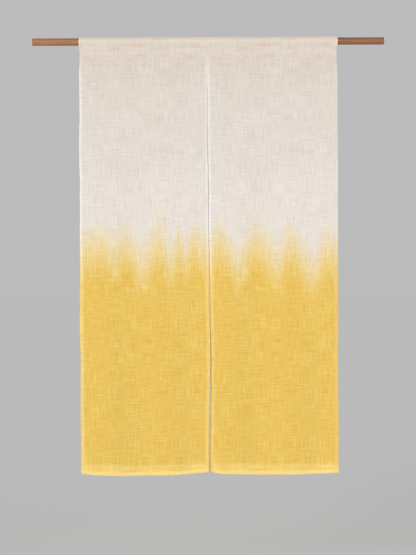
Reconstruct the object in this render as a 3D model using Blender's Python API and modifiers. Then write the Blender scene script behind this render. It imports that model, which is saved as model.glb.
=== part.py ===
"""Noren doorway curtain: two dip-dyed linen panels that share one round wooden rod.

Metres, +Z up. The origin is the centre of the rod's left end face, +X runs along the rod, and the
front of the cloth faces -Y. Each panel is one solid: its sheet, its hems, and the pocket that its
top makes over the rod and closes at one line of stitching.
"""

import math
from bisect import bisect_right
from collections import namedtuple

import bmesh
import bpy

COLLECTION = "noren_curtain"

# Rod
ROD_LENGTH = 1.200
ROD_DIAMETER = 0.025
ROD_SIDES = 48
ROD_EDGE = 0.0015          # rounded edge of each end face

# Cloth as a whole
CURTAIN_START = 0.160      # bare rod to the left of the cloth
CURTAIN_WIDTH = 0.880
CLOTH = 0.0010             # one layer
HEM = 0.0020               # turned-over layers, and the two layers at the pocket's stitching
SIDE_HEM = 0.014
BOTTOM_HEM = 0.034
HEM_STEP = 0.0015          # over this width a hem drops to one layer

# Pocket over the rod
POCKET_CLEARANCE = 0.0005  # between the rod and the cloth at its tightest
STITCH_DROP = 0.039        # from the rod's axis down to the line of stitching
POCKET_TURN_IN = 0.004     # turned-under cloth below the stitching
WRAP_STEPS = 14            # facets over the rod
LEG_STEPS = 2              # facets from the rod down to the stitching, front and back

# Facets of the hanging sheet
FIELD_COLUMNS = 16
FIELD_ROWS = 24
HANG = 1.476               # nominal drop from the rod's axis to the bottom edge

# The four long edges at each drop below the rod's axis. Sides and slit line: offset to the right
# of their straight lines. Slit gap: width between the panels, which are sewn together at the top.
Edges = namedtuple("Edges", "drop left_side slit_line slit_gap right_side")
EDGES = (
    Edges(-0.014, -0.0004, -0.0027, 0.0004, 0.0008),
    Edges(0.000, -0.0019, -0.0027, 0.0004, 0.0020),
    Edges(0.040, 0.0013, -0.0027, 0.0004, -0.0018),
    Edges(0.130, -0.0009, -0.0027, 0.0004, 0.0016),
    Edges(0.240, 0.0005, -0.0027, 0.0004, 0.0006),
    Edges(0.350, -0.0015, -0.0026, 0.0017, 0.0018),
    Edges(0.500, 0.0008, -0.0006, 0.0023, 0.0018),
    Edges(0.640, -0.0003, -0.0004, 0.0014, 0.0012),
    Edges(0.765, 0.0006, 0.0015, 0.0024, 0.0002),
    Edges(0.850, -0.0005, 0.0018, 0.0034, 0.0009),
    Edges(0.970, -0.0016, 0.0029, 0.0005, 0.0001),
    Edges(1.100, 0.0009, 0.0037, 0.0004, -0.0013),
    Edges(1.190, 0.0002, 0.0037, 0.0028, -0.0011),
    Edges(1.275, 0.0001, 0.0014, 0.0047, -0.0001),
    Edges(1.350, 0.0008, -0.0003, 0.0038, 0.0002),
    Edges(1.430, 0.0019, -0.0007, 0.0030, -0.0008),
    Edges(1.480, 0.0010, -0.0007, 0.0018, -0.0003),
)

# Across each panel, from its left edge: how slackly the pocket stands off the rod, and how far
# below (+) or above (-) its nominal drop the bottom edge hangs.
Across = namedtuple("Across", "share slack sag")
LEFT_ACROSS = (
    Across(0.00, 0.0013, 0.000),
    Across(0.14, 0.0001, 0.004),
    Across(0.38, 0.0003, 0.007),
    Across(0.55, 0.0014, 0.005),
    Across(0.75, 0.0010, 0.003),
    Across(1.00, 0.0012, -0.005),
)
RIGHT_ACROSS = (
    Across(0.00, 0.0012, -0.005),
    Across(0.11, 0.0016, 0.001),
    Across(0.43, 0.0007, 0.004),
    Across(0.62, 0.0005, 0.003),
    Across(0.87, 0.0015, 0.001),
    Across(1.00, 0.0013, -0.002),
)

# Soft upright folds, one row each. Centre: from the curtain's left edge. Reach: to each side.
# Start: drop below the rod's axis. Depth: at the bottom edge, + towards the back.
Fold = namedtuple("Fold", "centre reach start depth")
LEFT_FOLDS = (
    Fold(0.000, 0.075, 0.45, 0.0060),
    Fold(0.088, 0.090, 0.18, -0.0050),
    Fold(0.200, 0.085, 0.08, 0.0055),
    Fold(0.298, 0.080, 0.30, -0.0045),
    Fold(0.372, 0.055, 0.55, 0.0035),
    Fold(0.437, 0.050, 0.34, -0.0050),
)
RIGHT_FOLDS = (
    Fold(0.437, 0.058, 0.34, 0.0050),
    Fold(0.518, 0.070, 0.30, -0.0040),
    Fold(0.612, 0.085, 0.12, 0.0060),
    Fold(0.715, 0.090, 0.22, -0.0055),
    Fold(0.808, 0.065, 0.50, 0.0040),
    Fold(0.880, 0.060, 0.60, -0.0045),
)

Panel = namedtuple("Panel", "name edges across folds")


def smooth_step(t):
    """Ease from 0 to 1 as t goes from 0 to 1."""
    t = min(max(t, 0.0), 1.0)
    return t * t * (3.0 - 2.0 * t)


def read_table(rows, place, column):
    """Value of a table's column at a place in its first column, eased from row to row."""
    places = [row[0] for row in rows]
    if place <= places[0]:
        return getattr(rows[0], column)
    if place >= places[-1]:
        return getattr(rows[-1], column)
    after = bisect_right(places, place)
    low, high = rows[after - 1], rows[after]
    share = smooth_step((place - low[0]) / (high[0] - low[0]))
    start, end = getattr(low, column), getattr(high, column)
    return start + (end - start) * share


def left_side(drop):
    return CURTAIN_START + read_table(EDGES, drop, "left_side")


def right_side(drop):
    return CURTAIN_START + CURTAIN_WIDTH + read_table(EDGES, drop, "right_side")


def slit_edge(drop, sign):
    """Edge of the slit: sign -1 for the left panel's edge, +1 for the right panel's."""
    middle = CURTAIN_START + CURTAIN_WIDTH / 2 + read_table(EDGES, drop, "slit_line")
    return middle + sign * read_table(EDGES, drop, "slit_gap") / 2


LEFT = Panel("panel_left", (left_side, lambda drop: slit_edge(drop, -1)), LEFT_ACROSS, LEFT_FOLDS)
RIGHT = Panel("panel_right", (lambda drop: slit_edge(drop, 1), right_side), RIGHT_ACROSS, RIGHT_FOLDS)


def fold_depth(panel, x, drop):
    """How far the folds carry the cloth towards the back at one point."""
    depth = 0.0
    for fold in panel.folds:
        away = abs(x - CURTAIN_START - fold.centre) / fold.reach
        if away < 1.0:
            grown = smooth_step((drop - fold.start) / (HANG - fold.start))
            depth += fold.depth * grown * math.cos(away * math.pi / 2) ** 2
    return depth


def place(panel, share, y, drop):
    """Point of a panel: share of its width, depth from its hanging plane, drop below the axis."""
    left, right = (edge(drop) for edge in panel.edges)
    x = left + (right - left) * share
    return (x, y + fold_depth(panel, x, drop), -drop)


def column_shares():
    """Columns across a panel as (share of its width, is it in a side hem)."""
    width = CURTAIN_WIDTH / 2
    hem = SIDE_HEM / width
    field = (SIDE_HEM + HEM_STEP) / width
    inner = [field + (1 - 2 * field) * i / (FIELD_COLUMNS - 1) for i in range(FIELD_COLUMNS)]
    columns = [(0.0, True), (hem, True)]
    columns += [(share, False) for share in inner]
    columns += [(1 - hem, True), (1.0, True)]
    return columns


def row_drops():
    """Rows of the hanging sheet, bottom first, as (nominal drop, is it in a hem)."""
    turned = STITCH_DROP + POCKET_TURN_IN
    top = turned + HEM_STEP
    low = HANG - BOTTOM_HEM - HEM_STEP
    rows = [(HANG, True), (HANG - BOTTOM_HEM, True)]
    rows += [(low - (low - top) * i / (FIELD_ROWS - 1), False) for i in range(FIELD_ROWS)]
    rows += [(turned, True), (STITCH_DROP, True)]
    return rows


def pocket_line(radius, foot, foot_drop):
    """Half-open loop over the rod: from the front foot up, round, and down to the back foot."""
    reach = math.hypot(foot, foot_drop)
    leave = math.atan2(-foot_drop, -foot) - math.acos(radius / reach)
    front = 2 * math.pi + leave
    back = math.pi - front
    wrap = [front + (back - front) * i / WRAP_STEPS for i in range(WRAP_STEPS + 1)]
    arc = [(radius * math.cos(angle), radius * math.sin(angle)) for angle in wrap]
    shares = [i / LEG_STEPS for i in range(LEG_STEPS)]
    down, up = (-foot, -foot_drop), arc[0]
    leg = [(down[0] + (up[0] - down[0]) * s, down[1] + (up[1] - down[1]) * s) for s in shares]
    mirrored = [(-y, z) for y, z in reversed(leg)]
    return leg + arc + mirrored


def panel_section(panel, share, in_side_hem):
    """Outer and inner outline of one upright slice of a panel."""
    sag = read_table(panel.across, share, "sag")
    stretch = (HANG + sag - STITCH_DROP) / (HANG - STITCH_DROP)
    front, back = [], []
    for nominal, in_hem in row_drops():
        drop = STITCH_DROP + (nominal - STITCH_DROP) * stretch
        thick = HEM if in_hem or in_side_hem else CLOTH
        front.append(place(panel, share, -HEM / 2, drop))
        back.append(place(panel, share, -HEM / 2 + thick, drop))
    inner_radius = ROD_DIAMETER / 2 + POCKET_CLEARANCE + read_table(panel.across, share, "slack")
    outer_loop = pocket_line(inner_radius + CLOTH, HEM / 2, STITCH_DROP)
    inner_loop = pocket_line(inner_radius, 0.0, STITCH_DROP - HEM)
    outer = front + [place(panel, share, y, -z) for y, z in outer_loop[1:-1]] + back[::-1]
    inner = [place(panel, share, y, -z) for y, z in inner_loop[:-1]]
    return outer, inner


def section_faces(rows, outer_count, inner_count):
    """Faces that close the cut end of a panel: the sheet, the stitching and the pocket's ring."""
    top = rows - 1
    last = outer_count - 1
    faces = [(i, i + 1, last - i - 1, last - i) for i in range(top)]
    faces.append((top, outer_count, last - top))
    ring = list(range(top, last - top + 1))
    inner = [outer_count + i for i in range(inner_count)] + [outer_count]
    faces += [(ring[i], ring[i + 1], inner[i + 1], inner[i]) for i in range(len(ring) - 1)]
    return faces


def build_panel(panel, material):
    """Loft a panel through its upright sections, from its left edge to its right edge."""
    sections = [panel_section(panel, share, in_hem) for share, in_hem in column_shares()]
    outer_count, inner_count = (len(outline) for outline in sections[0])
    stride = outer_count + inner_count
    points = [point for outer, inner in sections for point in outer + inner]
    faces = []
    for column in range(len(sections) - 1):
        base = column * stride
        for start, count in ((0, outer_count), (outer_count, inner_count)):
            for i in range(count):
                here, there = start + i, start + (i + 1) % count
                faces.append((base + here, base + there, base + stride + there, base + stride + here))
    cut = section_faces(len(row_drops()), outer_count, inner_count)
    for base in (0, (len(sections) - 1) * stride):
        faces += [tuple(base + corner for corner in face) for face in cut]
    mesh = bpy.data.meshes.new(panel.name)
    mesh.from_pydata(points, [], faces)
    turn_faces_out(mesh)
    return add_part(panel.name, mesh, material)


def turn_faces_out(mesh):
    """Give every face of a closed mesh its normal towards the outside."""
    shape = bmesh.new()
    shape.from_mesh(mesh)
    bmesh.ops.recalc_face_normals(shape, faces=shape.faces)
    shape.to_mesh(mesh)
    shape.free()


def build_rod(material):
    """Round rod along +X, with its left end face centred on the origin."""
    shape = bmesh.new()
    radius = ROD_DIAMETER / 2
    bmesh.ops.create_cone(
        shape, cap_ends=True, segments=ROD_SIDES, radius1=radius, radius2=radius, depth=ROD_LENGTH
    )
    mesh = bpy.data.meshes.new("rod")
    shape.to_mesh(mesh)
    shape.free()
    rod = add_part("rod", mesh, material)
    rod.location.x = ROD_LENGTH / 2
    rod.rotation_euler.y = math.pi / 2
    bevel = rod.modifiers.new("rounded ends", "BEVEL")
    bevel.width = ROD_EDGE
    bevel.segments = 2
    bevel.limit_method = "ANGLE"
    bevel.angle_limit = math.radians(60)
    return rod


def add_part(name, mesh, material):
    """Put a mesh in the curtain's collection as one named object with its material."""
    mesh.shade_smooth()
    mesh.set_sharp_from_angle(angle=math.radians(40))
    mesh.materials.append(material)
    part = bpy.data.objects.new(name, mesh)
    bpy.data.collections[COLLECTION].objects.link(part)
    return part


def plain_material(name, color, roughness):
    """Principled material of one colour, not metallic."""
    material = bpy.data.materials.new(name)
    material.use_nodes = True
    shader = material.node_tree.nodes["Principled BSDF"]
    shader.inputs["Base Color"].default_value = (*color, 1.0)
    shader.inputs["Roughness"].default_value = roughness
    shader.inputs["Metallic"].default_value = 0.0
    return material


def dip_dyed_linen(name):
    """Undyed linen above, yellow below, with a soft change where the dye was drawn up."""
    undyed = (0.78, 0.71, 0.62)
    yellow = (0.83, 0.55, 0.13)
    dye_top, dye_full = -0.62, -0.86
    material = plain_material(name, undyed, 0.9)
    tree = material.node_tree
    where = tree.nodes.new("ShaderNodeTexCoord")
    split = tree.nodes.new("ShaderNodeSeparateXYZ")
    height = tree.nodes.new("ShaderNodeMapRange")
    height.inputs["From Min"].default_value = dye_full
    height.inputs["From Max"].default_value = dye_top
    ramp = tree.nodes.new("ShaderNodeValToRGB")
    ramp.color_ramp.interpolation = "EASE"
    ramp.color_ramp.elements[0].color = (*yellow, 1.0)
    ramp.color_ramp.elements[1].color = (*undyed, 1.0)
    tree.links.new(where.outputs["Object"], split.inputs["Vector"])
    tree.links.new(split.outputs["Z"], height.inputs["Value"])
    tree.links.new(height.outputs["Result"], ramp.inputs["Fac"])
    tree.links.new(ramp.outputs["Color"], tree.nodes["Principled BSDF"].inputs["Base Color"])
    return material


def clear_scene():
    for thing in list(bpy.data.objects):
        bpy.data.objects.remove(thing, do_unlink=True)


def main():
    clear_scene()
    bpy.context.scene.collection.children.link(bpy.data.collections.new(COLLECTION))
    build_panel(LEFT, dip_dyed_linen("linen_left"))
    build_panel(RIGHT, dip_dyed_linen("linen_right"))
    build_rod(plain_material("rod_wood", (0.42, 0.22, 0.11), 0.45))


main()
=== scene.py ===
"""Noren doorway curtain: dip-dyed linen, stitching, rod finish and a plain studio.

Metres, +Z up. The origin is the centre of the rod's left end face, +X runs along the rod, and the
front of the cloth faces -Y. Each panel is one thin sheet of linen that really turns at its hems
and runs over the rod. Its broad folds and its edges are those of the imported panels.
"""

import math
from bisect import bisect_right
from collections import namedtuple

import bmesh
import bpy
from bpy.props import FloatProperty, FloatVectorProperty, PointerProperty
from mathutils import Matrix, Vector, noise


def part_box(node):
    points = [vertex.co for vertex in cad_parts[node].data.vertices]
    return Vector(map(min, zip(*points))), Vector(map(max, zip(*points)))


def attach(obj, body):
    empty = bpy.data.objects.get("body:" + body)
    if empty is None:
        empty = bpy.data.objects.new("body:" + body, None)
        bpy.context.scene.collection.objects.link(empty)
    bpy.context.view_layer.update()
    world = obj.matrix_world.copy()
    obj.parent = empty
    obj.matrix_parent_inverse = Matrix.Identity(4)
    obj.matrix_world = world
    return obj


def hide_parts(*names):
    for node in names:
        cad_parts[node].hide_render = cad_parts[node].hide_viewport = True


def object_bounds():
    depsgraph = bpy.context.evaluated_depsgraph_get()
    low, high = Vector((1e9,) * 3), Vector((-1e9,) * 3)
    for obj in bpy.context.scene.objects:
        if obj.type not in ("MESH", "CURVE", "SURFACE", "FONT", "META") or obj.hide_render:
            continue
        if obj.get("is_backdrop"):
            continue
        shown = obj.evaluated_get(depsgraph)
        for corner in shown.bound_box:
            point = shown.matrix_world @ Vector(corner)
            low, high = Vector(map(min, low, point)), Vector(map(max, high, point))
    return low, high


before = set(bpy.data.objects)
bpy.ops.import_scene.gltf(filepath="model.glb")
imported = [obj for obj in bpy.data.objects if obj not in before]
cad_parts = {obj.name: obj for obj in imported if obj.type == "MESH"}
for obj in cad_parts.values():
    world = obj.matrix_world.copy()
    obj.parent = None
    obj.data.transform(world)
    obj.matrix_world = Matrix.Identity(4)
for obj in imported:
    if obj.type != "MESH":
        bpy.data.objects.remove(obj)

bl_info = {
    "name": "Noren Curtain",
    "version": (1, 0, 0),
    "blender": (4, 5, 0),
    "location": "3D View > Sidebar > Noren",
    "description": "Two dip-dyed linen panels with hems and stitching on a wooden rod",
    "category": "Add Mesh",
}

# Long edges of the panels at each drop below the rod's axis. Sides and slit line: offset to the
# right of their straight lines. Slit gap: width between the panels.
Edges = namedtuple("Edges", "drop left_side slit_line slit_gap right_side")
EDGES = (
    Edges(-0.014, -0.0004, -0.0027, 0.0004, 0.0008),
    Edges(0.000, -0.0019, -0.0027, 0.0004, 0.0020),
    Edges(0.040, 0.0013, -0.0027, 0.0004, -0.0018),
    Edges(0.130, -0.0009, -0.0027, 0.0004, 0.0016),
    Edges(0.240, 0.0005, -0.0027, 0.0004, 0.0006),
    Edges(0.350, -0.0015, -0.0026, 0.0017, 0.0018),
    Edges(0.500, 0.0008, -0.0006, 0.0023, 0.0018),
    Edges(0.640, -0.0003, -0.0004, 0.0014, 0.0012),
    Edges(0.765, 0.0006, 0.0015, 0.0024, 0.0002),
    Edges(0.850, -0.0005, 0.0018, 0.0034, 0.0009),
    Edges(0.970, -0.0016, 0.0029, 0.0005, 0.0001),
    Edges(1.100, 0.0009, 0.0037, 0.0004, -0.0013),
    Edges(1.190, 0.0002, 0.0037, 0.0028, -0.0011),
    Edges(1.275, 0.0001, 0.0014, 0.0047, -0.0001),
    Edges(1.350, 0.0008, -0.0003, 0.0038, 0.0002),
    Edges(1.430, 0.0019, -0.0007, 0.0030, -0.0008),
    Edges(1.480, 0.0010, -0.0007, 0.0018, -0.0003),
)

# Across each panel: how slackly the pocket stands off the rod, and how far below (+) or above (-)
# its nominal drop the bottom edge hangs.
Across = namedtuple("Across", "share slack sag")
LEFT_ACROSS = (
    Across(0.00, 0.0013, 0.000),
    Across(0.14, 0.0001, 0.004),
    Across(0.38, 0.0003, 0.007),
    Across(0.55, 0.0014, 0.005),
    Across(0.75, 0.0010, 0.003),
    Across(1.00, 0.0012, -0.005),
)
RIGHT_ACROSS = (
    Across(0.00, 0.0012, -0.005),
    Across(0.11, 0.0016, 0.001),
    Across(0.43, 0.0007, 0.004),
    Across(0.62, 0.0005, 0.003),
    Across(0.87, 0.0015, 0.001),
    Across(1.00, 0.0013, -0.002),
)

# Soft upright folds. Centre: from the curtain's left edge. Reach: to each side. Start: drop below
# the rod's axis. Depth: at the bottom edge, + towards the back.
Fold = namedtuple("Fold", "centre reach start depth")
LEFT_FOLDS = (
    Fold(0.000, 0.075, 0.45, 0.0060),
    Fold(0.088, 0.090, 0.18, -0.0050),
    Fold(0.200, 0.085, 0.08, 0.0055),
    Fold(0.298, 0.080, 0.30, -0.0045),
    Fold(0.372, 0.055, 0.55, 0.0035),
    Fold(0.437, 0.050, 0.34, -0.0050),
)
RIGHT_FOLDS = (
    Fold(0.437, 0.058, 0.34, 0.0050),
    Fold(0.518, 0.070, 0.30, -0.0040),
    Fold(0.612, 0.085, 0.12, 0.0060),
    Fold(0.715, 0.090, 0.22, -0.0055),
    Fold(0.808, 0.065, 0.50, 0.0040),
    Fold(0.880, 0.060, 0.60, -0.0045),
)

# Soft creases: where the middle lies, how far it reaches along and across itself, the lean of its
# length from upright, and its depth, + towards the back.
Crease = namedtuple("Crease", "centre drop along across lean depth")
CREASES = (
    Crease(0.375, 0.023, 0.080, 0.0075, 88, 0.0022),
    Crease(0.045, 0.020, 0.042, 0.0070, 80, 0.0012),
    Crease(0.120, 0.029, 0.055, 0.0080, 97, 0.0011),
    Crease(0.190, 0.020, 0.060, 0.0080, 92, 0.0010),
    Crease(0.270, 0.031, 0.045, 0.0070, 84, 0.0009),
    Crease(0.520, 0.024, 0.045, 0.0070, 95, 0.0014),
    Crease(0.640, 0.019, 0.070, 0.0080, 91, 0.0009),
    Crease(0.715, 0.030, 0.050, 0.0080, 85, 0.0011),
    Crease(0.825, 0.022, 0.052, 0.0075, 87, 0.0016),
    Crease(0.160, 0.066, 0.040, 0.0120, 34, 0.0007),
    Crease(0.610, 0.070, 0.045, 0.0120, -30, 0.0007),
    Crease(0.845, 0.080, 0.050, 0.0130, 28, 0.0008),
    Crease(0.070, 0.210, 0.170, 0.030, 4, 0.0012),
    Crease(0.250, 0.300, 0.220, 0.035, -3, -0.0012),
    Crease(0.355, 0.420, 0.240, 0.030, 2, 0.0011),
    Crease(0.520, 0.330, 0.220, 0.032, -4, 0.0012),
    Crease(0.690, 0.250, 0.200, 0.040, 3, -0.0012),
    Crease(0.795, 0.480, 0.260, 0.034, -2, 0.0012),
    Crease(0.405, 0.330, 0.090, 0.016, -24, 0.0008),
    Crease(0.478, 0.335, 0.090, 0.016, 22, -0.0008),
    Crease(0.130, 0.930, 0.260, 0.034, 3, 0.0013),
    Crease(0.305, 1.100, 0.260, 0.038, -2, -0.0013),
    Crease(0.560, 1.020, 0.260, 0.036, 2, 0.0012),
    Crease(0.760, 1.120, 0.280, 0.040, -3, -0.0013),
)

# Main tongues and valleys of the dye's edge: drop at which the yellow is half as strong as below.
Streak = namedtuple("Streak", "place half")
STREAKS = (
    Streak(0.00, 0.72),
    Streak(0.08, 0.70),
    Streak(0.11, 0.73),
    Streak(0.16, 0.70),
    Streak(0.21, 0.77),
    Streak(0.27, 0.69),
    Streak(0.31, 0.76),
    Streak(0.34, 0.70),
    Streak(0.36, 0.74),
    Streak(0.39, 0.69),
    Streak(0.43, 0.73),
    Streak(0.48, 0.69),
    Streak(0.54, 0.77),
    Streak(0.60, 0.69),
    Streak(0.68, 0.76),
    Streak(0.71, 0.70),
    Streak(0.80, 0.79),
    Streak(0.84, 0.72),
    Streak(0.88, 0.73),
)
# From the half strength up to the dye's last trace, and down to its full strength.
DYE_RISE = 0.09
DYE_FALL = 0.09

# Faint upright wisps of dye above the streaks.
Wisp = namedtuple("Wisp", "place top reach strength")
WISPS = (
    Wisp(0.022, 0.600, 0.008, 0.08),
    Wisp(0.165, 0.560, 0.010, 0.15),
    Wisp(0.268, 0.545, 0.009, 0.22),
    Wisp(0.293, 0.540, 0.010, 0.27),
    Wisp(0.505, 0.615, 0.008, 0.10),
    Wisp(0.547, 0.535, 0.008, 0.15),
    Wisp(0.646, 0.535, 0.008, 0.15),
    Wisp(0.842, 0.610, 0.009, 0.06),
)

# Colour of the cloth as the dye gets stronger.
Tone = namedtuple("Tone", "strength colour")
TONES = (
    Tone(0.00, (0.797, 0.729, 0.668)),
    Tone(0.12, (0.806, 0.726, 0.618)),
    Tone(0.30, (0.820, 0.702, 0.492)),
    Tone(0.50, (0.832, 0.660, 0.335)),
    Tone(0.70, (0.832, 0.606, 0.212)),
    Tone(0.88, (0.824, 0.562, 0.140)),
    Tone(1.00, (0.812, 0.540, 0.113)),
)

# Painted shade on the upper cloth, darkest and warmest at the pocket's stitching: what it leaves of the
# colour, from the pocket's stitching down.
Yellowing = namedtuple("Yellowing", "below colour")
UPPER_SHADE = (
    Yellowing(0.00, (0.894, 0.854, 0.827)),
    Yellowing(0.05, (0.903, 0.878, 0.853)),
    Yellowing(0.12, (0.916, 0.908, 0.888)),
    Yellowing(0.24, (0.930, 0.926, 0.910)),
    Yellowing(0.34, (0.944, 0.946, 0.938)),
    Yellowing(0.48, (0.984, 0.982, 0.984)),
    Yellowing(0.60, (1.000, 1.000, 1.000)),
)

# Painted shade where the cloth turns over the rod: distance above the pocket's stitching in 0.1 m.
CREST_SHADE = (
    (0.43, (1.00, 1.00, 1.00)),
    (0.48, (0.98, 0.965, 0.95)),
    (0.53, (0.93, 0.90, 0.87)),
    (0.58, (0.88, 0.84, 0.80)),
    (0.66, (0.88, 0.84, 0.80)),
    (0.80, (1.00, 1.00, 1.00)),
)

# Noise of the cut cloth: how often it repeats in a metre across and along it, and its detail.
Grain = namedtuple("Grain", "across along detail")
WICKING = Grain(180.0, 6.0, 3.0)
SEEPING = Grain(60.0, 9.0, 2.0)
WEFT = Grain(18.0, 240.0, 3.0)
WARP = Grain(240.0, 17.0, 3.0)
CLUSTERS = Grain(16.0, 16.0, 2.0)
BLOTCHES = Grain(9.0, 7.0, 2.0)
CLOUDS = Grain(40.0, 34.0, 2.0)
# Warm patches of the painted shade at the top.
SHADE_PATCHES = Grain(17.0, 48.0, 2.0)
# Patches of the bottom hem's painted light.
HEM_LIGHT_PATCHES = Grain(11.0, 40.0, 2.0)

# Small unevenness of the hanging linen: its height, and the length of its waves across and down.
Relief = namedtuple("Relief", "height across down")
CRUMPLE = Relief(0.00055, 0.050, 0.075)
CREPE = Relief(0.00018, 0.019, 0.026)
RIPPLE = Relief(0.00070, 0.036, 0.550)

# Puckers: height, how far a stitched line pulls the cloth, and the length of their waves.
Pucker = namedtuple("Pucker", "height pull wave")
SIDE_PUCKER = Pucker(0.00035, 0.012, 0.017)
POCKET_PUCKER = Pucker(0.00035, 0.020, 0.011)

# Waver of the cloth's edges: height and length of its waves.
WAVER_HEIGHT = 0.0009
WAVER_LENGTH = 0.030

# Past a side hem its layers thin out over this length, with columns at these places.
HEM_EASE = 0.0022
HEM_STEPS = (-0.0014, -0.0006, 0.0003, 0.0012, 0.0030)

# Share by which the rows of the hanging length crowd towards both of its ends.
CROWDING = 0.105

# Length over which a wisp fades in, and slack of the pocket that the cut length is taken from.
WISP_FADE = 0.08
USUAL_SLACK = 0.0008

# Stitching: from a side hem's inner end out to its stitches, from the pocket's stitching down to
# where they start, from a cross hem's top down to its stitches, and what a cross row leaves bare
# at each end.
SIDE_INSET = 0.0016
SIDE_START = 0.006
CROSS_INSET = 0.0018
CROSS_END = 0.001

# The bar where the slit begins: how many stitches, and how many thread widths apart.
BAR_STITCHES = 7
BAR_PITCH = 2.4

# Soft lamps: azimuth from the front, + to the right, elevation and softness in degrees.
Lamp = namedtuple("Lamp", "name azimuth elevation strength softness")
LAMPS = (
    Lamp("key_light", -34, 10, 1.70, 34),
    Lamp("fill_light", 40, 8, 0.93, 46),
    Lamp("back_light", 150, 40, 1.50, 50),
)

Panel = namedtuple("Panel", "node sheet edges across folds hems seed")
# How much painted light a side hem gets where the cloth is undyed and dyed, and how dark the painted
# shadow along its fold is at a seam.
Hem = namedtuple("Hem", "undyed dyed shadow")
Column = namedtuple("Column", "share offset lift bulk u")
Stitch = namedtuple("Stitch", "start end outward dye")
# Lines of the cut cloth: its side folds across it, and its bottom fold and stitching along it.
Lines = namedtuple("Lines", "left right bottom stitches")


class NorenSettings(bpy.types.PropertyGroup):
    """Sizes and colours of the curtain's looks."""

    curtain_start: FloatProperty(
        name="Bare rod at the left", description="From the rod's end to the cloth",
        default=0.160, unit="LENGTH",
    )
    curtain_width: FloatProperty(
        name="Curtain width", description="Both panels together", default=0.880, unit="LENGTH"
    )
    hang: FloatProperty(
        name="Hang", description="From the rod's axis down to the bottom edge",
        default=1.476, unit="LENGTH",
    )
    stitch_drop: FloatProperty(
        name="Pocket depth", description="From the rod's axis down to the pocket's stitching",
        default=0.039, unit="LENGTH",
    )
    pocket_clearance: FloatProperty(
        name="Pocket clearance", description="Between the rod and the packed cloth",
        default=0.0005, unit="LENGTH",
    )
    packed_cloth: FloatProperty(
        name="Packed cloth", description="One layer of the packed panels",
        default=0.0010, unit="LENGTH",
    )
    cloth: FloatProperty(
        name="Cloth", description="Thickness of the linen", default=0.00040, unit="LENGTH"
    )
    layer_pitch: FloatProperty(
        name="Layer pitch", description="From one layer of a hem to the next",
        default=0.00045, unit="LENGTH",
    )
    side_hem: FloatProperty(
        name="Side hem", description="Width of each side hem", default=0.014, unit="LENGTH"
    )
    side_turn: FloatProperty(
        name="Side turn-in", description="Cloth turned in inside a side hem",
        default=0.008, unit="LENGTH",
    )
    bottom_hem: FloatProperty(
        name="Bottom hem", description="Height of the bottom hem", default=0.034, unit="LENGTH"
    )
    turn_in: FloatProperty(
        name="Turn-in", description="Cloth turned in inside the bottom hem and the pocket's hem",
        default=0.010, unit="LENGTH",
    )
    pocket_tail: FloatProperty(
        name="Pocket hem", description="Cloth below the pocket's stitching, at the back",
        default=0.004, unit="LENGTH",
    )
    column_step: FloatProperty(
        name="Column step", description="Between the sheet's columns", default=0.0055, unit="LENGTH"
    )
    row_step: FloatProperty(
        name="Row step", description="Between the sheet's rows", default=0.0062, unit="LENGTH"
    )
    thread_pitch: FloatProperty(
        name="Weave pitch", description="From one thread of the linen to the next",
        default=0.0011, unit="LENGTH",
    )
    stitch: FloatProperty(
        name="Stitch", description="Length of one stitch", default=0.0030, unit="LENGTH"
    )
    thread: FloatProperty(
        name="Thread", description="Thickness of the thread", default=0.00038, unit="LENGTH"
    )
    seam_start: FloatProperty(
        name="Seam start", description="From the rod's axis down to the seam between the panels",
        default=0.046, unit="LENGTH",
    )
    seam_end: FloatProperty(
        name="Slit start", description="From the rod's axis down to where the slit begins",
        default=0.268, unit="LENGTH",
    )
    whip_pitch: FloatProperty(
        name="Seam stitch pitch", description="From one stitch of the seam to the next",
        default=0.0045, unit="LENGTH",
    )
    whip_reach: FloatProperty(
        name="Seam stitch reach", description="From the seam to each end of a stitch across it",
        default=0.0021, unit="LENGTH",
    )
    # Painted light: the hems and the pocket's doubled front are painted lighter than a single layer, where
    # more layers of the sheer linen let less shade through.
    hem_light: FloatVectorProperty(
        name="Hem light", description="How much lighter an undyed hem looks than a single layer",
        default=(0.100, 0.111, 0.122), subtype="COLOR",
    )
    dyed_hem_light: FloatVectorProperty(
        name="Dyed hem light", description="How much lighter a yellow hem looks than a single layer",
        default=(0.104, 0.115, 0.086), subtype="COLOR",
    )
    painted_pocket_light: FloatVectorProperty(
        name="Pocket light", description="How much lighter the pocket's front looks than one layer",
        default=(0.074, 0.068, 0.055), subtype="COLOR",
    )
    wood_light: FloatVectorProperty(
        name="Light wood", description="Wood between the grain lines",
        default=(0.470, 0.215, 0.095), subtype="COLOR",
    )
    wood_dark: FloatVectorProperty(
        name="Dark wood", description="Wood in the grain lines",
        default=(0.270, 0.105, 0.043), subtype="COLOR",
    )
    floor_colour: FloatVectorProperty(
        name="Floor", description="Pale floor", default=(0.52, 0.52, 0.52), subtype="COLOR"
    )
    floor_drop: FloatProperty(
        name="Floor drop", description="From the bottom edge down to the floor",
        default=0.40, unit="LENGTH",
    )
    floor_reach: FloatProperty(
        name="Floor reach", description="Radius of the floor", default=80.0, unit="LENGTH"
    )
    room_light: FloatProperty(
        name="Room light", description="Brightness of the pale surroundings", default=0.50
    )
    lens: FloatProperty(name="Lens", description="Focal length in millimetres", default=95.0)
    camera_place: FloatVectorProperty(
        name="Camera place", description="To the right of, in front of and below the curtain's middle",
        default=(-0.0034, 5.0, 0.0717), subtype="TRANSLATION", unit="LENGTH",
    )
    camera_roll: FloatProperty(
        name="Camera roll", description="Turn of the camera about its own axis",
        default=math.radians(0.22), subtype="ANGLE",
    )


def smooth_step(t):
    """Ease from 0 to 1 as t goes from 0 to 1."""
    t = min(max(t, 0.0), 1.0)
    return t * t * (3.0 - 2.0 * t)


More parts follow.
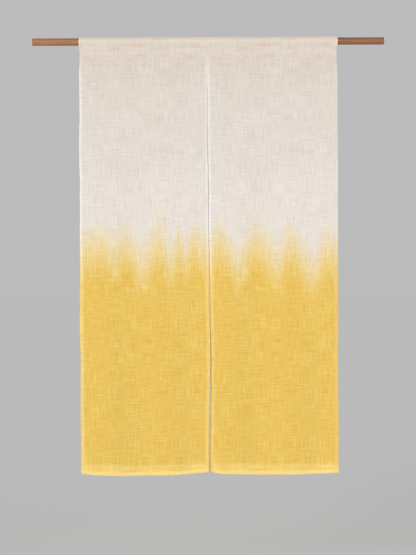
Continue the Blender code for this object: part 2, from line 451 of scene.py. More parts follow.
def read_table(rows, place, column):
    """Value of a table's column at a place in its first column, eased from row to row."""
    places = [row[0] for row in rows]
    if place <= places[0]:
        return getattr(rows[0], column)
    if place >= places[-1]:
        return getattr(rows[-1], column)
    after = bisect_right(places, place)
    low, high = rows[after - 1], rows[after]
    share = smooth_step((place - low[0]) / (high[0] - low[0]))
    start, end = getattr(low, column), getattr(high, column)
    return start + (end - start) * share


def waver(place, line):
    """Small waver of one of the cloth's edges. Each line has its own number."""
    return WAVER_HEIGHT * noise.noise(Vector((place / WAVER_LENGTH, line, 0.5)))


def left_side(sizes, drop):
    return sizes.curtain_start + read_table(EDGES, drop, "left_side") + waver(drop, 1.0)


def right_side(sizes, drop):
    straight_line = sizes.curtain_start + sizes.curtain_width
    return straight_line + read_table(EDGES, drop, "right_side") + waver(drop, 5.0)


def slit_edge(sizes, drop, sign):
    """Edge of the slit: sign -1 for the left panel's edge, +1 for the right panel's."""
    middle = sizes.curtain_start + sizes.curtain_width / 2 + read_table(EDGES, drop, "slit_line")
    middle += waver(drop, 9.0)
    return middle + sign * read_table(EDGES, drop, "slit_gap") / 2


def slit_left(sizes, drop):
    return slit_edge(sizes, drop, -1)


def slit_right(sizes, drop):
    return slit_edge(sizes, drop, 1)


PANELS = (
    Panel(
        "panel_left", "linen_left", (left_side, slit_left), LEFT_ACROSS, LEFT_FOLDS,
        (Hem(1.15, 0.95, 0.0), Hem(0.72, 0.80, 0.36)), 3.1,
    ),
    Panel(
        "panel_right", "linen_right", (slit_right, right_side), RIGHT_ACROSS, RIGHT_FOLDS,
        (Hem(1.12, 0.85, 0.30), Hem(0.05, 0.32, 0.0)), 17.7,
    ),
)


def fold_depth(sizes, panel, x, drop):
    """How far the broad folds carry the cloth towards the back at one point."""
    depth = 0.0
    for fold in panel.folds:
        away = abs(x - sizes.curtain_start - fold.centre) / fold.reach
        if away < 1.0:
            grown = smooth_step((drop - fold.start) / (sizes.hang - fold.start))
            depth += fold.depth * grown * math.cos(away * math.pi / 2) ** 2
    return depth


def crease_depth(sizes, x, drop):
    """How far the soft creases carry the cloth towards the back at one point."""
    depth = 0.0
    for crease in CREASES:
        lean = math.radians(crease.lean)
        right = x - sizes.curtain_start - crease.centre
        down = drop - crease.drop
        along = (down * math.cos(lean) + right * math.sin(lean)) / crease.along
        across = (right * math.cos(lean) - down * math.sin(lean)) / crease.across
        if abs(along) < 1.0 and abs(across) < 1.0:
            window = math.cos(along * math.pi / 2) * math.cos(across * math.pi / 2)
            depth += crease.depth * window ** 2
    return depth


def uneven(relief, x, drop, seed):
    """One kind of unevenness at one point."""
    return relief.height * noise.noise(Vector((x / relief.across, drop / relief.down, seed)))


def puckered(pucker, away, place, line, seed):
    """Pucker along a stitched line, at a place along it and at a distance from it."""
    pulled = math.exp(-abs(away) / pucker.pull)
    return pucker.height * pulled * noise.noise(Vector((place / pucker.wave, line, seed)))


def fine_relief(sizes, panel, x, drop):
    """Small unevenness of the hanging linen: crumples, faint upright ripples and hem puckers."""
    seed = panel.seed
    grown = smooth_step((drop - sizes.stitch_drop) / 0.5)
    height = uneven(CRUMPLE, x, drop, seed) + uneven(CREPE, x, drop, seed + 5)
    height += grown * uneven(RIPPLE, x, drop, seed + 9)
    left, right = (edge(sizes, drop) for edge in panel.edges)
    height += puckered(SIDE_PUCKER, x - left, drop, 1.0, seed)
    height += puckered(SIDE_PUCKER, x - right, drop, 2.0, seed)
    height += puckered(POCKET_PUCKER, drop - sizes.stitch_drop, x, 4.0, seed)
    settled = smooth_step((drop + 0.004) / 0.020)
    return height * settled


def surface_depth(sizes, panel, x, drop):
    """Depth of the cloth's middle plane behind the rod's axis at one point."""
    front = -sizes.packed_cloth + sizes.cloth / 2
    shape = fold_depth(sizes, panel, x, drop) + crease_depth(sizes, x, drop)
    return front + shape + fine_relief(sizes, panel, x, drop)


def hem_levels(sizes, bulk):
    """Depth of a cross hem's inner and outer layer, where side hems thicken it by their bulk."""
    return sizes.layer_pitch * (1 + 2 * bulk), sizes.layer_pitch * (2 + 6 * bulk)


def hem_columns(sizes):
    """Columns of one side hem as (offset from the edge, lift, bulk), from the raw edge inward."""
    pitch, hem = sizes.layer_pitch, sizes.side_hem
    start, turn = hem - sizes.side_turn, hem - pitch / 2
    places = [(start + (turn - start) * i / 3, pitch) for i in range(4)]
    for i in range(1, 5):
        angle = math.pi * i / 4
        places.append((turn + pitch / 2 * math.sin(angle), pitch * (1.5 - 0.5 * math.cos(angle))))
    places += [(turn + (pitch - turn) * i / 4, 2 * pitch) for i in range(1, 5)]
    for i in range(1, 7):
        angle = math.pi * i / 6
        places.append((pitch - pitch * math.sin(angle), pitch * (1 + math.cos(angle))))
    places += [(hem * i / 5, 0.0) for i in range(1, 5)]
    places += [(hem + step, 0.0) for step in HEM_STEPS]
    return [(offset, lift, 1 - smooth_step((offset - hem) / HEM_EASE)) for offset, lift in places]


def sheet_columns(sizes):
    """Columns over a panel's whole cut width, from raw edge to raw edge."""
    hem = hem_columns(sizes)
    width = sizes.curtain_width / 2
    inset = hem[-1][0]
    count = round((width - 2 * inset) / sizes.column_step)
    rows = [(0.0, *place) for place in hem]
    rows += [(i / count, inset, 0.0, 0.0) for i in range(1, count)]
    rows += [(1.0, *place) for place in reversed(hem)]
    columns, u, before = [], 0.0, None
    for share, offset, lift, bulk in rows:
        x = width * share + offset * (1 - 2 * share)
        if before:
            u += math.hypot(x - before[0], lift - before[1])
        before = (x, lift)
        columns.append(Column(share, offset, lift, bulk, u))
    return columns


def straight(level, start, end, steps, facing):
    """Upright run of cloth at one depth, as (depth, drop, back normal y, back normal z)."""
    return [(level, start + (end - start) * i / steps, facing, 0.0) for i in range(steps + 1)]


def bend(start, end, centre, over, steps):
    """Half turn from one depth to another round a centre drop; over is 1 when it passes above."""
    radius = abs(end - start) / 2
    sign = 1 if start > end else -1
    path = []
    for i in range(1, steps):
        angle = math.pi * i / steps
        depth = (start + end) / 2 + sign * radius * math.cos(angle)
        drop = centre - over * radius * math.sin(angle)
        path.append((depth, drop, -sign * math.cos(angle), -over * math.sin(angle)))
    return path


def over_rod(sizes, radius, front, back):
    """Path from the pocket's stitching up the front, over the rod, and down the back."""
    foot = Vector((front, -sizes.stitch_drop))
    rear = Vector((back, -sizes.stitch_drop))
    leave = math.atan2(foot.y, foot.x) - math.acos(radius / foot.length) + 2 * math.pi
    meet = math.atan2(rear.y, rear.x) + math.acos(radius / rear.length)
    path = []
    for start, angle in ((foot, leave), (rear, meet)):
        touch = Vector((math.cos(angle), math.sin(angle)))
        leg = []
        for i in range(1, 8):
            point = start.lerp(touch * radius, i / 8)
            leg.append((point.x, -point.y, -touch.x, -touch.y))
        path.append(leg)
    wrap = []
    for i in range(31):
        angle = leave + (meet - leave) * i / 30
        y, z = math.cos(angle), math.sin(angle)
        wrap.append((radius * y, -radius * z, -y, -z))
    return path[0] + wrap + path[1][::-1]


def upright_path(sizes, bulk, slack, rod_radius):
    """One column of the sheet, from the bottom hem's raw edge to the raw edge behind the pocket."""
    inner, outer = hem_levels(sizes, bulk)
    small, large = (outer - inner) / 2, outer / 2
    hem_top = sizes.hang - sizes.bottom_hem
    path = straight(inner, hem_top + sizes.turn_in, hem_top + small, 2, 1.0)
    path += bend(inner, outer, hem_top + small, 1, 5)
    path += straight(outer, hem_top + small, sizes.hang - large, 5, -1.0)
    path += bend(outer, 0.0, sizes.hang - large, -1, 7)
    low, high = sizes.hang - large, sizes.stitch_drop
    steps = round((sizes.hang - sizes.stitch_drop) / sizes.row_step)
    path += [(0.0, low + (high - low) * smooth_ends(i / steps), 1.0, 0.0) for i in range(steps + 1)]
    radius = rod_radius + sizes.pocket_clearance + slack + sizes.packed_cloth - sizes.cloth / 2
    front = -sizes.packed_cloth + sizes.cloth / 2
    wrap = over_rod(sizes, radius, front, front + outer)
    path += [(y - front, drop, facing, rise) for y, drop, facing, rise in wrap]
    tail = sizes.stitch_drop + sizes.pocket_tail - small
    path += straight(outer, sizes.stitch_drop, tail, 2, -1.0)
    path += bend(outer, inner, tail, -1, 5)
    path += straight(inner, tail, sizes.stitch_drop + sizes.pocket_tail - sizes.turn_in, 3, 1.0)
    return path


def smooth_ends(t):
    """Share of the hanging length at a share of its rows, with closer rows near both ends."""
    return t - CROWDING * math.sin(2 * math.pi * t)


def dye_strength(sizes, x, drop):
    """Dye at a point: 0.1 at its last trace, 0.5 half way, 0.9 at its full strength."""
    place = x - sizes.curtain_start
    above = read_table(STREAKS, place, "half") - drop
    strength = 0.5 - 0.4 * above / (DYE_RISE if above > 0 else DYE_FALL)
    for wisp in WISPS:
        away = abs(place - wisp.place) / wisp.reach
        if away < 1.0 and strength < 0.5:
            grown = smooth_step((drop - wisp.top) / WISP_FADE)
            strength = max(strength, wisp.strength * grown * math.cos(away * math.pi / 2))
    return strength


def build_sheet(sizes, panel):
    """Mesh of one panel, with its cut cloth's own coordinates in metres, and the dye's strength."""
    columns = sheet_columns(sizes)
    low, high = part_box("rod")
    rod_radius = (high[2] - low[2]) / 2
    nominal = upright_path(sizes, 0.0, USUAL_SLACK, rod_radius)
    lengths = [0.0]
    for before, after in zip(nominal, nominal[1:]):
        lengths.append(lengths[-1] + math.hypot(after[0] - before[0], after[1] - before[1]))
    points, dye, coords = [], [], []
    for column in columns:
        share = column.share + column.offset * (1 - 2 * column.share) * 2 / sizes.curtain_width
        sag = read_table(panel.across, share, "sag") + waver(share * sizes.curtain_width / 2, 13.0)
        slack = read_table(panel.across, share, "slack")
        stretch = (sizes.hang + sag - sizes.stitch_drop) / (sizes.hang - sizes.stitch_drop)
        path = upright_path(sizes, column.bulk, slack, rod_radius)
        for (depth, drop, facing, rise), v in zip(path, lengths):
            if drop > sizes.stitch_drop:
                drop = sizes.stitch_drop + (drop - sizes.stitch_drop) * stretch
            left, right = (edge(sizes, drop) for edge in panel.edges)
            x = left + (right - left) * column.share + column.offset * (1 - 2 * column.share)
            y = surface_depth(sizes, panel, x, drop) + depth
            points.append((x, y + facing * column.lift, -drop + rise * column.lift))
            dye.append(dye_strength(sizes, x, drop))
            coords.append((column.u, v))
    rows = len(nominal)
    faces = []
    for column in range(len(columns) - 1):
        for row in range(rows - 1):
            corner = column * rows + row
            faces.append((corner, corner + 1, corner + rows + 1, corner + rows))
    mesh = bpy.data.meshes.new(panel.sheet)
    mesh.from_pydata(points, [], faces)
    mesh.attributes.new("dye", "FLOAT", "POINT").data.foreach_set("value", dye)
    cut = mesh.uv_layers.new(name="cut")
    for loop in mesh.loops:
        cut.uv[loop.index].vector = coords[loop.vertex_index]
    return mesh, columns, nominal, lengths


def add_node(tree, kind, values, **settings):
    """Add a shader node. A value that is another node's output is linked, any other is set."""
    made = tree.nodes.new(kind)
    for name, value in settings.items():
        setattr(made, name, value)
    for name, value in values.items():
        if isinstance(value, bpy.types.NodeSocket):
            tree.links.new(value, made.inputs[name])
        else:
            made.inputs[name].default_value = value
    return made


def add_math(tree, operation, first, second):
    return add_node(tree, "ShaderNodeMath", {0: first, 1: second}, operation=operation).outputs[0]


def add_range(tree, value, low, high):
    """Value from 0 to 1 spread over another range."""
    values = {"Value": value, "To Min": low, "To Max": high}
    return add_node(tree, "ShaderNodeMapRange", values).outputs[0]


def centred(tree, value, scale):
    """Noise round 0.5 made into noise round 0 of another size."""
    return add_math(tree, "MULTIPLY", add_math(tree, "SUBTRACT", value, 0.5), scale)


def add_vector(tree, operation, first, second):
    values = {0: first, 3 if operation == "SCALE" else 1: second}
    return add_node(tree, "ShaderNodeVectorMath", values, operation=operation).outputs[0]


def add_ramp(tree, factor, stops, colour="Color"):
    """Colour ramp through stops of (position, colour)."""
    made = add_node(tree, "ShaderNodeValToRGB", {"Fac": factor})
    elements = made.color_ramp.elements
    while len(elements) < len(stops):
        elements.new(0.5)
    for element, (position, value) in zip(elements, stops):
        element.position = position
        element.color = (*value, 1.0)
    return made.outputs[colour]


def grey(value):
    return (value, value, value)


def stretched_noise(tree, where, stretch, **settings):
    """Noise round 0.5 that repeats so many times in a metre along each axis."""
    place = add_vector(tree, "MULTIPLY", where, stretch)
    return add_node(tree, "ShaderNodeTexNoise", {"Vector": place, "Scale": 1.0, **settings}).outputs["Fac"]


def cut_noise(tree, cut, grain):
    """Noise of the cut cloth with one of the grains above."""
    stretch = (grain.across, grain.along, 1.0)
    return stretched_noise(tree, cut, stretch, Detail=grain.detail, Roughness=0.55)


def new_material(name):
    material = bpy.data.materials.new(name)
    material.use_nodes = True
    return material, material.node_tree, material.node_tree.nodes["Principled BSDF"]


def pair_of_stops(*stops):
    """Stops of a grey ramp."""
    return [(position, grey(value)) for position, value in stops]


def distance_from(tree, place, line, reach):
    """Distance from a line of the cut cloth, as a share of a reach."""
    away = add_math(tree, "ABSOLUTE", add_math(tree, "SUBTRACT", place, line), 0.0)
    return add_math(tree, "DIVIDE", away, reach)


def hem_lightness(tree, sizes, cut, u, v, full, lines, hems):
    """How strongly painted light lightens the cloth at the hems, the bottom hem and the pocket's
    stitching, from its cut coordinates: it stands in for the doubled layers letting less shade through.
    """
    below = add_math(tree, "SUBTRACT", lines.stitches, v)
    lower = add_node(
        tree, "ShaderNodeMapRange",
        {"Value": below, "From Min": -0.005, "From Max": 0.060, "To Min": 0.10},
    ).outputs[0]
    wide = pair_of_stops((0.0, 0.92), (0.10, 1.05), (0.23, 1.00), (0.46, 0.82), (0.63, 0.92), (0.69, 0.0))
    narrow = pair_of_stops((0.0, 0.95), (0.12, 1.05), (0.28, 0.85), (0.44, 0.40), (0.50, 0.0))
    parts = []
    for fold, hem in zip((lines.left, lines.right), hems):
        share = distance_from(tree, u, fold, 1.4 * sizes.side_hem)
        dyed = add_math(tree, "MULTIPLY", add_ramp(tree, share, wide), hem.dyed)
        undyed = add_math(tree, "MULTIPLY", add_ramp(tree, share, narrow), hem.undyed)
        undyed = add_math(tree, "MULTIPLY", undyed, lower)
        parts.append(add_range(tree, full, undyed, dyed))
    # Painted light of the bottom hem, partly in patches.
    share = distance_from(tree, v, lines.bottom, 1.4 * sizes.bottom_hem)
    parts.append(add_ramp(tree, share, pair_of_stops((0.0, 1.30), (0.24, 1.45), (0.38, 0.0))))
    stops = pair_of_stops((0.0, 0.92), (0.35, 0.84), (0.64, 0.80), (0.73, 0.45), (0.88, 0.0))
    painted_light_patches = add_range(tree, cut_noise(tree, cut, HEM_LIGHT_PATCHES), 0.0, 1.86)
    parts.append(add_math(tree, "MULTIPLY", add_ramp(tree, share, stops), painted_light_patches))
    # Painted light along the pocket's stitching.
    share = distance_from(tree, v, lines.stitches, 0.010)
    parts.append(add_ramp(tree, share, pair_of_stops((0.15, 0.35), (0.45, 0.0))))
    total = parts[0]
    for part in parts[1:]:
        total = add_math(tree, "MAXIMUM", total, part)
    return total


def seam_shadow(tree, u, below, lines, hems):
    """What the fine dark line along the folds of the slit leaves of the colour, below the tight seam."""
    lower = add_node(
        tree, "ShaderNodeMapRange", {"Value": below, "From Min": 0.09, "From Max": 0.13}
    ).outputs[0]
    left = 1.0
    for fold, hem in zip((lines.left, lines.right), hems):
        if hem.shadow:
            share = distance_from(tree, u, fold, 0.005)
            line = add_ramp(tree, share, pair_of_stops((0.16, hem.shadow), (0.28, 0.0)))
            left = add_math(tree, "SUBTRACT", left, add_math(tree, "MULTIPLY", line, lower))
    return left


def painted_upper_shade(tree, cut, below, blotch):
    """What the painted shade leaves of the colour: less towards the top, with warm patches of painted
    shade at the top.
    """
    place = add_math(tree, "ADD", below, centred(tree, blotch, 0.22))
    even = add_ramp(tree, place, UPPER_SHADE)
    patch = cut_noise(tree, cut, SHADE_PATCHES)
    spot = add_node(tree, "ShaderNodeMapRange", {"Value": patch, "From Min": 0.50, "From Max": 0.66})
    high = add_node(
        tree, "ShaderNodeMapRange", {"Value": below, "From Max": 0.13, "To Min": 1.0, "To Max": 0.0}
    )
    strength = add_math(tree, "MULTIPLY", spot.outputs[0], high.outputs[0])
    shade_patches = add_ramp(tree, strength, [(0.0, grey(1.0)), (1.0, (0.972, 0.940, 0.900))])
    return add_vector(tree, "MULTIPLY", even, shade_patches)


def linen(name, sizes, lines, edge_hems):
    """Slubby plain-weave linen: undyed above, yellow below, with painted light where hems and the pocket
    double it, painted shade towards the top and over the rod, and a painted shadow line along the slit.
    """
    material, tree, shader = new_material(name)
    cut = add_node(tree, "ShaderNodeUVMap", {}, uv_map="cut").outputs[0]
    split = add_node(tree, "ShaderNodeSeparateXYZ", {"Vector": cut})
    u, v = split.outputs[0], split.outputs[1]
    below = add_math(tree, "SUBTRACT", lines.stitches, v)
    dye = add_node(tree, "ShaderNodeAttribute", {}, attribute_name="dye").outputs["Fac"]

    wicking = centred(tree, cut_noise(tree, cut, WICKING), 0.38)
    seeping = centred(tree, cut_noise(tree, cut, SEEPING), 0.24)
    strength = add_math(tree, "ADD", add_math(tree, "ADD", dye, wicking), seeping)
    colour = add_ramp(tree, strength, TONES)
    full = add_node(tree, "ShaderNodeMapRange", {"Value": strength, "From Min": 0.60}).outputs[0]

    weft = cut_noise(tree, cut, WEFT)
    warp = cut_noise(tree, cut, WARP)
    lying = centred(tree, weft, add_range(tree, full, 0.88, 0.78))
    upright = centred(tree, warp, add_range(tree, full, 1.00, 0.78))
    clusters = add_range(tree, cut_noise(tree, cut, CLUSTERS), 0.10, 2.10)
    slub = add_math(tree, "MULTIPLY", add_math(tree, "ADD", lying, upright), clusters)
    blotch = cut_noise(tree, cut, BLOTCHES)
    cloud = centred(tree, cut_noise(tree, cut, CLOUDS), 0.10)
    mottling = add_math(tree, "ADD", centred(tree, blotch, 0.16), cloud)
    tone = add_math(tree, "ADD", slub, mottling)
    depth = add_node(
        tree, "ShaderNodeMix", {"Factor": full, "A": (0.32, 0.35, 0.38), "B": (0.29, 0.58, 1.75)},
        data_type="VECTOR",
    ).outputs[1]
    relief = add_vector(tree, "ADD", add_vector(tree, "SCALE", depth, tone), (1.0, 1.0, 1.0))
    woven = add_vector(tree, "MULTIPLY", colour, relief)
    # Painted shade, darker towards the top.
    woven = add_vector(tree, "MULTIPLY", woven, painted_upper_shade(tree, cut, below, blotch))

    # Painted light of the hems.
    hems = hem_lightness(tree, sizes, cut, u, v, full, lines, edge_hems)
    light = add_node(
        tree, "ShaderNodeMix",
        {"Factor": full, "A": tuple(sizes.hem_light), "B": tuple(sizes.dyed_hem_light)},
        data_type="VECTOR",
    ).outputs[1]
    woven = add_vector(tree, "ADD", woven, add_vector(tree, "SCALE", light, hems))
    # Painted light on the pocket's doubled front, and painted shade where the cloth turns over the rod.
    above = add_math(tree, "MULTIPLY", below, -10.0)
    pocket_painted_light = add_ramp(tree, above, pair_of_stops((0.0, 0.0), (0.03, 1.0), (0.40, 1.0), (0.46, 0.0)))
    pocket = add_vector(tree, "SCALE", tuple(sizes.painted_pocket_light), pocket_painted_light)
    woven = add_vector(tree, "ADD", woven, pocket)
    painted_crest_shade = add_ramp(tree, above, CREST_SHADE)
    shadow = seam_shadow(tree, u, below, lines, edge_hems)
    woven = add_vector(tree, "MULTIPLY", woven, add_vector(tree, "SCALE", painted_crest_shade, shadow))
    tree.links.new(woven, shader.inputs["Base Color"])

    bumps = add_math(tree, "ADD", slub, weave_relief(tree, sizes, u, v))
    bump = add_node(tree, "ShaderNodeBump", {"Height": bumps, "Strength": 0.55, "Distance": 0.0004})
    tree.links.new(bump.outputs[0], shader.inputs["Normal"])
    shader.inputs["Roughness"].default_value = 0.88
    shader.inputs["Specular IOR Level"].default_value = 0.25
    shader.inputs["Sheen Weight"].default_value = 0.12
    shader.inputs["Sheen Roughness"].default_value = 0.5
    return material


def weave_relief(tree, sizes, u, v):
    """Threads of a plain weave that pass over and under each other."""
    turn = math.pi / sizes.thread_pitch
    across = add_node(tree, "ShaderNodeMath", {0: add_math(tree, "MULTIPLY", u, turn)}, operation="SINE")
    along = add_node(tree, "ShaderNodeMath", {0: add_math(tree, "MULTIPLY", v, turn)}, operation="SINE")
    crossed = add_math(tree, "MULTIPLY", across.outputs[0], along.outputs[0])
    return add_math(tree, "MULTIPLY", crossed, 0.35)


def wood(name, sizes):
    """Warm brown wood with its grain along the rod, with painted shade on top and towards the right end,
    and painted light below its middle.
    """
    material, tree, shader = new_material(name)
    where = add_node(tree, "ShaderNodeTexCoord", {}).outputs["Object"]
    grain = stretched_noise(
        tree, where, (7.0, 170.0, 170.0), Detail=4.0, Roughness=0.6, Distortion=0.4
    )
    pores = stretched_noise(tree, where, (30.0, 900.0, 900.0), Detail=2.0)
    lines = add_math(tree, "MULTIPLY", grain, 0.75)
    mixed = add_math(tree, "ADD", lines, add_math(tree, "MULTIPLY", pores, 0.25))
    colour = add_ramp(tree, mixed, [(0.34, tuple(sizes.wood_dark)), (0.62, tuple(sizes.wood_light))])
    split = add_node(tree, "ShaderNodeSeparateXYZ", {"Vector": where})
    # Painted shade on the rod's top and painted light below its middle.
    shade_on_top = add_node(
        tree, "ShaderNodeMapRange",
        {
            "Value": split.outputs["Z"], "From Min": -0.004, "From Max": 0.011,
            "To Min": 1.25, "To Max": 0.66,
        },
    ).outputs[0]
    # Painted shadow towards the rod's right end.
    painted_shade = add_math(tree, "MULTIPLY", shade_on_top, add_range(tree, split.outputs["X"], 1.00, 0.70))
    tree.links.new(add_vector(tree, "SCALE", colour, painted_shade), shader.inputs["Base Color"])
    tree.links.new(add_range(tree, pores, 0.60, 0.44), shader.inputs["Roughness"])
    bump = add_node(tree, "ShaderNodeBump", {"Height": mixed, "Strength": 0.35, "Distance": 0.0003})
    tree.links.new(bump.outputs[0], shader.inputs["Normal"])
    shader.inputs["Specular IOR Level"].default_value = 0.35
    return material


def thread_material(name):
    """Matt thread that took the dye with the cloth, a little paler than the linen."""
    material, tree, shader = new_material(name)
    dye = add_node(tree, "ShaderNodeAttribute", {}, attribute_name="dye").outputs["Fac"]
    colour = add_ramp(tree, dye, TONES)
    where = add_node(tree, "ShaderNodeTexCoord", {}).outputs["Object"]
    fibres = {"Vector": where, "Scale": 1800.0, "Detail": 1.0}
    twist = add_node(tree, "ShaderNodeTexNoise", fibres).outputs["Fac"]
    share = add_math(tree, "MULTIPLY", twist, 0.5)
    pale = add_node(
        tree, "ShaderNodeMix", {"Factor": share, "A": colour, "B": (0.93, 0.86, 0.72, 1.0)},
        data_type="RGBA",
    )
    tree.links.new(pale.outputs[2], shader.inputs["Base Color"])
    bump = add_node(tree, "ShaderNodeBump", {"Height": twist, "Strength": 0.3, "Distance": 0.0001})
    tree.links.new(bump.outputs[0], shader.inputs["Normal"])
    shader.inputs["Roughness"].default_value = 0.8
    shader.inputs["Specular IOR Level"].default_value = 0.3
    return material


def link_object(name, mesh, material):
    """Show a mesh as one object at the origin with one material."""
    mesh.materials.append(material)
    made = bpy.data.objects.new(name, mesh)
    bpy.context.scene.collection.objects.link(made)
    return made


def select_only(thing):
    for other in bpy.context.selected_objects:
        other.select_set(False)
    thing.select_set(True)
    bpy.context.view_layer.objects.active = thing


def thicken(thing, thickness):
    """Give a sheet its thickness to both sides and smooth shading."""
    select_only(thing)
    solid = thing.modifiers.new("cloth thickness", "SOLIDIFY")
    solid.thickness = thickness
    solid.offset = 0.0
    bpy.ops.object.modifier_apply(modifier=solid.name)
    bpy.ops.object.shade_smooth_by_angle(angle=math.radians(70))


class NOREN_OT_panels(bpy.types.Operator):
    """Add the two linen panels over the rod"""

    bl_idname = "noren.panels"
    bl_label = "Add Linen Panels"

    def execute(self, context):
        sizes = context.scene.noren
        for panel in PANELS:
            mesh, columns, nominal, lengths = build_sheet(sizes, panel)
            folds = [column.u for column in columns if column.offset < 1e-6]
            bottom = max(range(len(nominal)), key=lambda row: nominal[row][1])
            stitched = [i for i, row in enumerate(nominal) if abs(row[1] - sizes.stitch_drop) < 1e-6]
            lines = Lines(folds[0], folds[-1], lengths[bottom], lengths[stitched[0]])
            material = linen(panel.sheet, sizes, lines, panel.hems)
            sheet = link_object(panel.sheet, mesh, material)
            thicken(sheet, sizes.cloth)
            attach(sheet, "root")
            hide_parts(panel.node)
        return {"FINISHED"}


def model_stitch():
    """One stitch along Z, 1 long and 1 in radius: thin at its ends, its full middle raised towards +Y."""
    bpy.ops.object.select_all(action="DESELECT")
    bpy.ops.mesh.primitive_cylinder_add(vertices=5, radius=1.0, depth=1.0)
    bpy.ops.object.mode_set(mode="EDIT")
    bpy.ops.mesh.select_all(action="SELECT")
    bpy.ops.mesh.bisect(plane_co=(0.0, 0.0, 0.0), plane_no=(0.0, 0.0, 1.0))
    select_vertices(lambda place: abs(place.z) < 0.25)
    bpy.ops.transform.translate(value=(0.0, 0.75, 0.0))
    select_vertices(lambda place: abs(place.z) > 0.25)
    bpy.ops.transform.resize(value=(0.55, 0.55, 1.0), center_override=(0.0, 0.0, 0.0))
    bpy.ops.object.mode_set(mode="OBJECT")
    return bpy.context.object


def select_vertices(wanted):
    """Select the vertices of the mesh in edit mode whose places are wanted."""
    shape = bmesh.from_edit_mesh(bpy.context.object.data)
    for vertex in shape.verts:
        vertex.select_set(False)
    for vertex in shape.verts:
        if wanted(vertex.co):
            vertex.select_set(True)
    shape.select_flush_mode()
    bmesh.update_edit_mesh(bpy.context.object.data)


def copy_stitches(pattern, stitches, radius, name):
    """Joined copies of one stitch, each turned and stretched between its own two ends."""
    points, faces, dye = [], [], []
    for stitch in stitches:
        along = stitch.end - stitch.start
        outward = stitch.outward * radius
        side = outward.cross(along.normalized())
        middle = (stitch.start + stitch.end) / 2
        first = len(points)
        for vertex in pattern.data.vertices:
            points.append(middle + side * vertex.co.x + outward * vertex.co.y + along * vertex.co.z)
            dye.append(stitch.dye)
        for face in pattern.data.polygons:
            faces.append([first + corner for corner in face.vertices])
    mesh = bpy.data.meshes.new(name)
    mesh.from_pydata(points, [], faces)
    mesh.attributes.new("dye", "FLOAT", "POINT").data.foreach_set("value", dye)
    mesh.shade_smooth()
    return mesh


def stitch_line(sizes, panel, place, count):
    """Row of stitches on both faces. Place gives (x, drop, depth of the front, depth of the back)."""
    stitches = []
    for i in range(count):
        for side, shift in ((-1, 0.0), (1, 0.5)):
            ends = []
            for share in (0.06, 0.94):
                x, drop, front, back = place((i + share + shift) / (count + 1))
                depth = front if side < 0 else back
                y = surface_depth(sizes, panel, x, drop) + depth
                ends.append(Vector((x, y + side * sizes.cloth / 2, -drop)))
            dye = dye_strength(sizes, ends[0].x, -ends[0].z)
            stitches.append(Stitch(*ends, Vector((0.0, side, 0.0)), dye))
    return stitches


def whip_stitch(sizes, drop, side, lean):
    """Thread across the butted edges of the two panels on one face of the cloth."""
    middle = (slit_left(sizes, drop) + slit_right(sizes, drop)) / 2
    depth = 2 * sizes.layer_pitch if side > 0 else 0.0
    ends = []
    for panel, sign in zip(PANELS, (-1, 1)):
        x, low = middle + sign * sizes.whip_reach, drop + sign * lean / 2
        y = surface_depth(sizes, panel, x, low) + depth + side * sizes.cloth / 2
        ends.append(Vector((x, y, -low)))
    return Stitch(*ends, Vector((0.0, side, 0.0)), 0.0)


def seam_stitches(sizes):
    """Whip stitches down the seam, with a close bar of them where the slit begins."""
    count = int((sizes.seam_end - sizes.seam_start) / sizes.whip_pitch)
    stitches = []
    for side in (-1, 1):
        for i in range(count):
            drop = sizes.seam_start + sizes.whip_pitch * i
            stitches.append(whip_stitch(sizes, drop, side, sizes.whip_pitch / 2))
        for i in range(BAR_STITCHES):
            drop = sizes.seam_end + BAR_PITCH * sizes.thread * i
            stitches.append(whip_stitch(sizes, drop, side, 0.0))
    return stitches


def stitch_places(sizes, panel):
    """Each stitch line of a panel as (place function, count)."""
    pitch = sizes.layer_pitch
    inset = sizes.side_hem - SIDE_INSET
    top, low = sizes.stitch_drop, sizes.hang - sizes.bottom_hem
    lines = []
    for edge, sign in zip(panel.edges, (1, -1)):
        def down_side(share, edge=edge, sign=sign):
            drop = top + SIDE_START + (low - top - SIDE_START) * share
            return edge(sizes, drop) + sign * inset, drop, 0.0, 2 * pitch
        lines.append((down_side, int((low - top) / sizes.stitch)))

    def level(nominal):
        def across(share):
            left, right = (edge(sizes, nominal) for edge in panel.edges)
            x = left + CROSS_END + (right - left - 2 * CROSS_END) * share
            sag = read_table(panel.across, share, "sag")
            stretch = (sizes.hang + sag - top) / (sizes.hang - top)
            near = min(x - left, right - x)
            bulk = 1 - smooth_step((near - sizes.side_hem) / HEM_EASE)
            return x, top + (nominal - top) * stretch, 0.0, hem_levels(sizes, bulk)[1]
        return across

    count = int(sizes.curtain_width / 2 / sizes.stitch)
    lines.append((level(low + CROSS_INSET), count))
    lines.append((level(top), count))
    return lines


class NOREN_OT_stitching(bpy.types.Operator):
    """Add the stitching of the hems, of the pocket and of the seam between the panels"""

    bl_idname = "noren.stitching"
    bl_label = "Add Stitching"

    def execute(self, context):
        sizes = context.scene.noren
        pattern = model_stitch()
        material = thread_material("thread")
        rows = {"seam_stitches": seam_stitches(sizes)}
        for panel in PANELS:
            name = panel.sheet.replace("linen", "stitches")
            rows[name] = []
            for place, count in stitch_places(sizes, panel):
                rows[name] += stitch_line(sizes, panel, place, count)
        for name, stitches in rows.items():
            mesh = copy_stitches(pattern, stitches, sizes.thread / 2, name)
            threads = link_object(name, mesh, material)
            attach(threads, "root")
        bpy.data.objects.remove(pattern)
        return {"FINISHED"}


class NOREN_OT_rod(bpy.types.Operator):
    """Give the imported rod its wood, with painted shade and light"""

    bl_idname = "noren.rod"
    bl_label = "Finish Rod"

    def execute(self, context):
        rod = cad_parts["rod"]
        material = wood("rod_wood_grain", context.scene.noren)
        for slot in rod.material_slots:
            slot.material = material
        return {"FINISHED"}


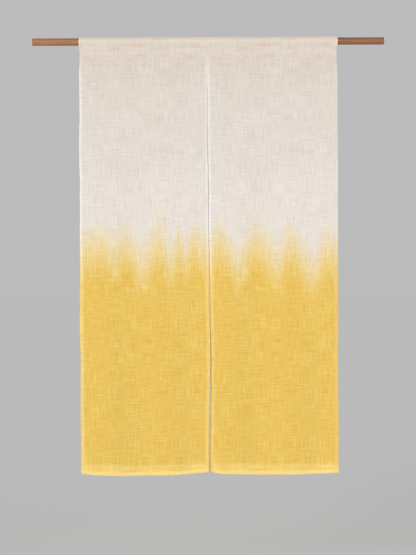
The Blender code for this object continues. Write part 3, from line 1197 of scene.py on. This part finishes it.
class NOREN_OT_stage(bpy.types.Operator):
    """Add the pale floor, the soft studio light and the camera"""

    bl_idname = "noren.stage"
    bl_label = "Add Stage"

    def execute(self, context):
        sizes = context.scene.noren
        low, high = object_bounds()
        middle = (low + high) / 2
        self.add_floor(sizes, middle, low.z - sizes.floor_drop)
        for lamp in LAMPS:
            self.add_sun(lamp)
        world = bpy.data.worlds.new("pale_room")
        world.use_nodes = True
        shade = world.node_tree.nodes["Background"]
        shade.inputs["Color"].default_value = (1.0, 1.0, 1.0, 1.0)
        shade.inputs["Strength"].default_value = sizes.room_light
        context.scene.world = world
        context.scene.view_settings.view_transform = "Standard"
        self.add_camera(context, sizes, middle)
        return {"FINISHED"}

    def add_floor(self, sizes, middle, height):
        material, tree, shader = new_material("pale_floor")
        where = add_node(tree, "ShaderNodeTexCoord", {}).outputs["Object"]
        mottle = add_node(tree, "ShaderNodeTexNoise", {"Vector": where, "Scale": 1.5}).outputs["Fac"]
        shade = [value * 0.985 for value in sizes.floor_colour]
        colour = add_ramp(tree, mottle, [(0.3, shade), (0.7, tuple(sizes.floor_colour))])
        tree.links.new(colour, shader.inputs["Base Color"])
        shader.inputs["Roughness"].default_value = 1.0
        shader.inputs["Specular IOR Level"].default_value = 0.0
        bpy.ops.object.select_all(action="DESELECT")
        bpy.ops.mesh.primitive_circle_add(
            vertices=96, radius=sizes.floor_reach, fill_type="NGON", location=(middle.x, middle.y, height)
        )
        bpy.ops.object.transform_apply(location=True, rotation=False, scale=False)
        floor = bpy.context.object
        floor.name = "floor"
        floor.data.materials.append(material)
        floor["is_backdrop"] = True

    def add_sun(self, lamp):
        """Soft even light from one direction."""
        light = bpy.data.lights.new(lamp.name, "SUN")
        light.energy = lamp.strength
        light.angle = math.radians(lamp.softness)
        holder = bpy.data.objects.new(lamp.name, light)
        turn, rise = math.radians(lamp.azimuth), math.radians(lamp.elevation)
        level = math.cos(rise)
        source = Vector((math.sin(turn) * level, -math.cos(turn) * level, math.sin(rise)))
        holder.rotation_euler = (-source).to_track_quat("-Z", "Y").to_euler()
        bpy.context.scene.collection.objects.link(holder)

    def add_camera(self, context, sizes, middle):
        """Camera square to the curtain and a little below its middle."""
        camera = bpy.data.cameras.new("camera")
        camera.lens = sizes.lens
        holder = bpy.data.objects.new("camera", camera)
        right, back, down = sizes.camera_place
        holder.location = middle + Vector((right, -back, -down))
        holder.rotation_euler = (math.radians(90), sizes.camera_roll, 0.0)
        context.scene.collection.objects.link(holder)
        context.scene.camera = holder


class NOREN_PT_main(bpy.types.Panel):
    """Sidebar panel with the curtain's operators"""

    bl_idname = "NOREN_PT_main"
    bl_label = "Noren"
    bl_space_type = "VIEW_3D"
    bl_region_type = "UI"
    bl_category = "Noren"

    def draw(self, context):
        for operator in OPERATORS:
            self.layout.operator(operator.bl_idname)


OPERATORS = (NOREN_OT_panels, NOREN_OT_stitching, NOREN_OT_rod, NOREN_OT_stage)
CLASSES = (NorenSettings, *OPERATORS, NOREN_PT_main)


def register():
    for cls in CLASSES:
        bpy.utils.register_class(cls)
    bpy.types.Scene.noren = PointerProperty(type=NorenSettings)


def unregister():
    del bpy.types.Scene.noren
    for cls in reversed(CLASSES):
        bpy.utils.unregister_class(cls)


def main():
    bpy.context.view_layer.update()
    register()
    bpy.ops.noren.panels()
    bpy.ops.noren.stitching()
    bpy.ops.noren.rod()
    bpy.ops.noren.stage()


if __name__ == "__main__":
    main()
